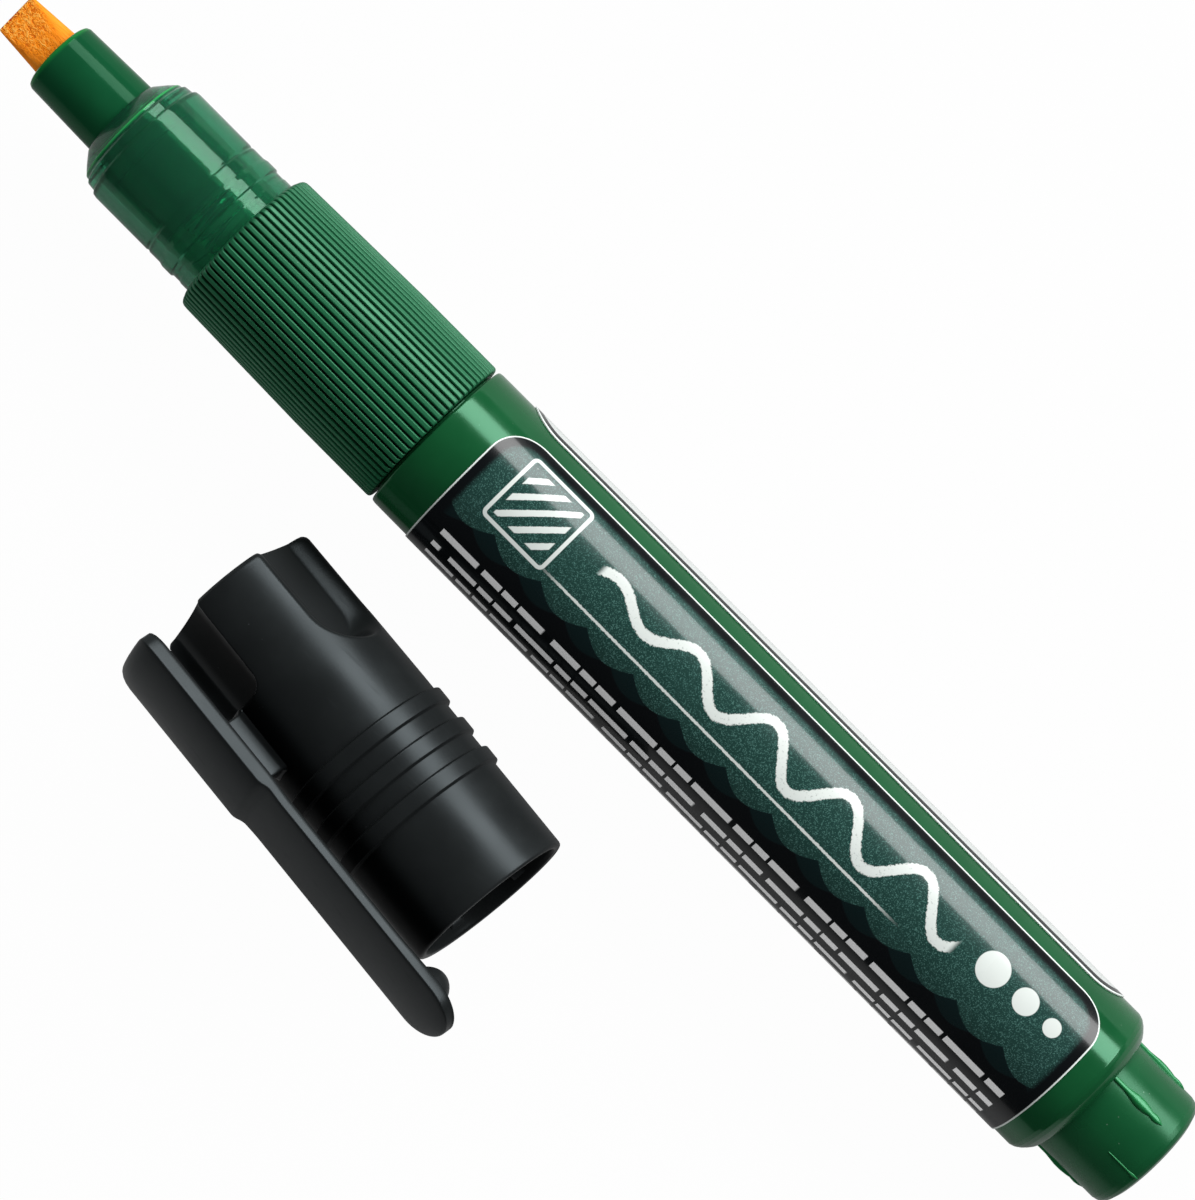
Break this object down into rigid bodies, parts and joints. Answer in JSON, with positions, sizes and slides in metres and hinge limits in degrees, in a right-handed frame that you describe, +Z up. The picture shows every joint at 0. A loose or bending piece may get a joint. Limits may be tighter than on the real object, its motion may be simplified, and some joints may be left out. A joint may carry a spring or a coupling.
{
  "type": "pit board marker",
  "caption": "Pump marker for pit boards and chalkboards: chisel nib, ribbed grip, barrel with a wrapped label, press button at the tail, clipped cap lying off beside it.",
  "frame": {"origin": "on the surface that the marker and its cap lie on, under the middle of the whole set", "axes": "+X along the marker towards its nib, +Y from the marker towards its loose cap, +Z up"},
  "size_m": [0.1328, 0.0428, 0.0194],
  "materials": {
    "fibre_nib": "matte, ink-soaked",
    "fibre_pad": "matte",
    "green_plastic": "satin gloss",
    "clear_green_plastic": "clear tinted gloss",
    "grip_plastic": "matte",
    "printed_film": "printed gloss film",
    "pale_plastic": "natural",
    "seal_rubber": "matte",
    "spring_steel": "bright drawn wire",
    "ball_steel": "polished",
    "black_plastic": "satin"
  },
  "bodies": {
    "marker": {"nib": "fibre_nib", "feed_pad": "fibre_pad", "nib_holder": "green_plastic", "front_housing": "clear_green_plastic", "housing_seal": "seal_rubber", "grip_sleeve": "grip_plastic", "barrel": "green_plastic", "label": "printed_film", "valve_seat": "pale_plastic", "valve_spring": "spring_steel", "rod_guide": "green_plastic", "rod_seal": "seal_rubber", "pump_spring": "spring_steel"},
    "pump": {"pump_button": "green_plastic", "push_rod": "pale_plastic", "valve_plug": "pale_plastic", "valve_seal": "seal_rubber"},
    "ball": {"mixing_ball": "ball_steel"},
    "cap": {"cap_shell": "black_plastic", "inner_cap": "pale_plastic"}
  },
  "joints": [
    {"name": "pump_press", "type": "slide", "parent": "marker", "child": "pump", "axis": [1, 0, 0], "range_m": [0, 0.0025], "stiffness_N_per_m": 1500, "deforming": ["pump_spring", "valve_spring"]},
    {"name": "ball_travel", "type": "slide", "parent": "marker", "child": "ball", "axis": [1, 0, 0], "range_m": [-0.0165, 0.033]},
    {"name": "cap_slide", "type": "slide", "parent": "marker", "child": "cap", "axis": [-0.9961, 0.0887, 0], "range_m": [0, 0.04]}
  ]
}
